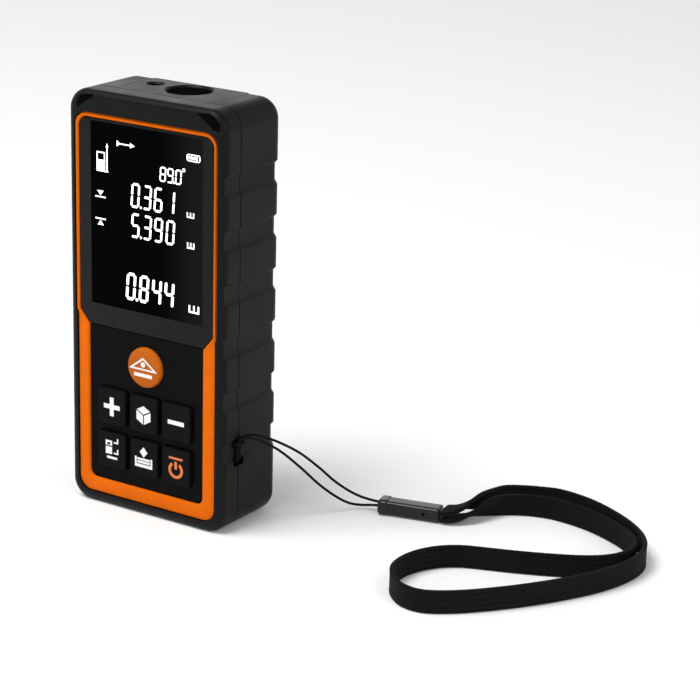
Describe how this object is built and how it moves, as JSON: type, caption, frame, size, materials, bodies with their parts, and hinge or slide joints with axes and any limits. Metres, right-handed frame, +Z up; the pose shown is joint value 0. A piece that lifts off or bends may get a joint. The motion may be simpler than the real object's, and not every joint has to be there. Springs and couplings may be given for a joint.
{
  "type": "laser distance meter",
  "caption": "Pocket laser distance meter with a dark display, keypad, grip grooves down the sides and a looped wrist strap.",
  "frame": {"origin": "bottom centre of the housing, on the surface it stands on", "axes": "+X to the right seen from the front, the keys face -Y, +Z up towards the laser end"},
  "size_m": [0.1496, 0.0804, 0.112],
  "materials": {
    "housing": "fine matte texture",
    "orange": "satin",
    "fascia": "satin",
    "window": "polished",
    "keys": "matte",
    "lcd": "smooth",
    "light_guide": "diffusing",
    "flex": "smooth film",
    "board": "solder mask",
    "chip": "moulded",
    "steel": "plated",
    "brass": "turned",
    "lens": "polished, coated",
    "inner_plastic": "moulded",
    "cell": "printed sleeve",
    "cord": "braided",
    "webbing": "woven",
    "clasp": "glossy"
  },
  "bodies": {
    "housing": {"front_shell": "housing", "back_shell": "housing", "aperture_plate": "housing", "orange_frame": "orange", "keypad_panel": "fascia", "display_window": "window", "lcd_panel": "lcd", "lcd_backlight": "light_guide", "display_flex": "flex", "main_pcb": "board", "receiver_board": "board", "processor": "chip", "memory_chip": "chip", "tilt_sensor": "chip", "buzzer": "chip", "dome_read": "steel", "dome_plus": "steel", "dome_cube": "steel", "dome_minus": "steel", "dome_unit": "steel", "dome_level": "steel", "dome_power": "steel", "lens_retainer": "steel", "contact_bridge": "steel", "contact_positive": "steel", "contact_negative": "steel", "contact_spring_1": "steel", "contact_spring_2": "steel", "screw_lower_left": "steel", "screw_lower_right": "steel", "screw_upper_left": "steel", "screw_upper_right": "steel", "laser_module": "brass", "receiver_lens": "lens", "collimator_lens": "lens", "laser_window": "lens", "photodiode": "lens", "optics_block": "inner_plastic", "battery_tray": "inner_plastic", "battery_1": "cell", "battery_2": "cell", "strap_cord": "cord", "strap_webbing": "webbing", "strap_slider": "clasp"},
    "read_button": {"read_button": "orange"},
    "key_plus": {"key_plus": "keys"},
    "key_cube": {"key_cube": "keys"},
    "key_minus": {"key_minus": "keys"},
    "key_unit": {"key_unit": "keys"},
    "key_level": {"key_level": "keys"},
    "key_power": {"key_power": "keys"},
    "battery_cover": {"battery_cover": "housing"}
  },
  "joints": [
    {"name": "read_press", "type": "slide", "parent": "housing", "child": "read_button", "axis": [0, 1, 0], "range_m": [0, 0.0006], "stiffness_N_per_m": 3000},
    {"name": "press_plus", "type": "slide", "parent": "housing", "child": "key_plus", "axis": [0, 1, 0], "range_m": [0, 0.0006], "stiffness_N_per_m": 3000},
    {"name": "press_cube", "type": "slide", "parent": "housing", "child": "key_cube", "axis": [0, 1, 0], "range_m": [0, 0.0006], "stiffness_N_per_m": 3000},
    {"name": "press_minus", "type": "slide", "parent": "housing", "child": "key_minus", "axis": [0, 1, 0], "range_m": [0, 0.0006], "stiffness_N_per_m": 3000},
    {"name": "press_unit", "type": "slide", "parent": "housing", "child": "key_unit", "axis": [0, 1, 0], "range_m": [0, 0.0006], "stiffness_N_per_m": 3000},
    {"name": "press_level", "type": "slide", "parent": "housing", "child": "key_level", "axis": [0, 1, 0], "range_m": [0, 0.0006], "stiffness_N_per_m": 3000},
    {"name": "press_power", "type": "slide", "parent": "housing", "child": "key_power", "axis": [0, 1, 0], "range_m": [0, 0.0006], "stiffness_N_per_m": 3000},
    {"name": "battery_cover_lift", "type": "slide", "parent": "housing", "child": "battery_cover", "axis": [0, 1, 0], "range_m": [0, 0.03]}
  ]
}
